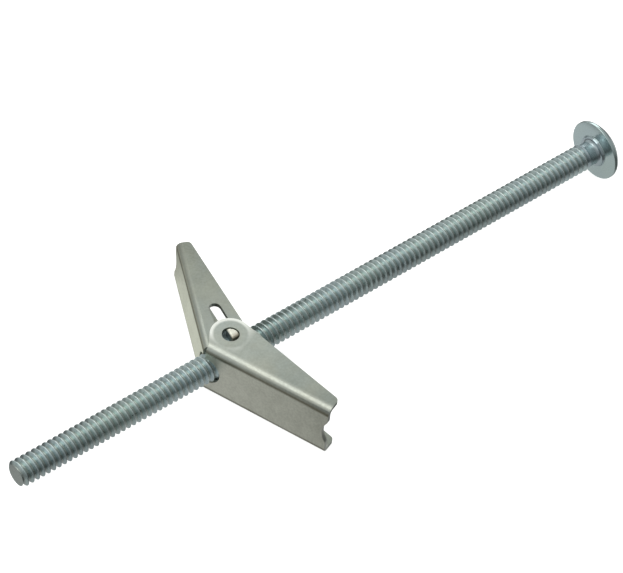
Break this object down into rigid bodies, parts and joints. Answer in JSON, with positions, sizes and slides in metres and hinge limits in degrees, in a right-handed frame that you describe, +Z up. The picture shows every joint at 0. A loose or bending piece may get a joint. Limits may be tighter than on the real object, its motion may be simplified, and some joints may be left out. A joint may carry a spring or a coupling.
{
  "type": "spring toggle bolt",
  "caption": "Long machine screw with a mushroom head and two sprung channel wings on a trunnion nut that open behind a hollow wall.",
  "frame": {"origin": "on the screw's axis, in the plane of the head's underside", "axes": "+X along the screw out of its head, +Y towards the inner wing, +Z up along the wings' hinge axis as the bolt lies on a table"},
  "size_m": [0.127, 0.0434, 0.011],
  "materials": {
    "zinc_screw": "bright zinc plating over a rolled thread",
    "zinc_nut": "satin zinc plating",
    "zinc_sheet": "satin zinc plating with a faint yellow-green mottle",
    "spring_wire": "drawn spring wire"
  },
  "bodies": {
    "screw": {"screw": "zinc_screw"},
    "nut": {"trunnion_nut": "zinc_nut", "torsion_spring": "spring_wire"},
    "outer_wing": {"outer_wing": "zinc_sheet"},
    "inner_wing": {"inner_wing": "zinc_sheet"}
  },
  "joints": [
    {"name": "nut_travel", "type": "slide", "parent": "screw", "child": "nut", "axis": [1, 0, 0], "range_m": [-0.038, 0.057]},
    {"name": "outer_wing_fold", "type": "hinge", "parent": "nut", "child": "outer_wing", "pos_m": [-0.0813, 0, 0], "axis": [0, 0, 1], "range_deg": [0, 70], "stiffness_Nm_per_rad": 0.012, "springref_deg": -20.05, "deforming": ["torsion_spring"]},
    {"name": "inner_wing_fold", "type": "hinge", "parent": "nut", "child": "inner_wing", "pos_m": [-0.0813, 0, 0], "axis": [0, 0, -1], "range_deg": [0, 64], "stiffness_Nm_per_rad": 0.012, "springref_deg": -20.05, "deforming": ["torsion_spring"]}
  ]
}
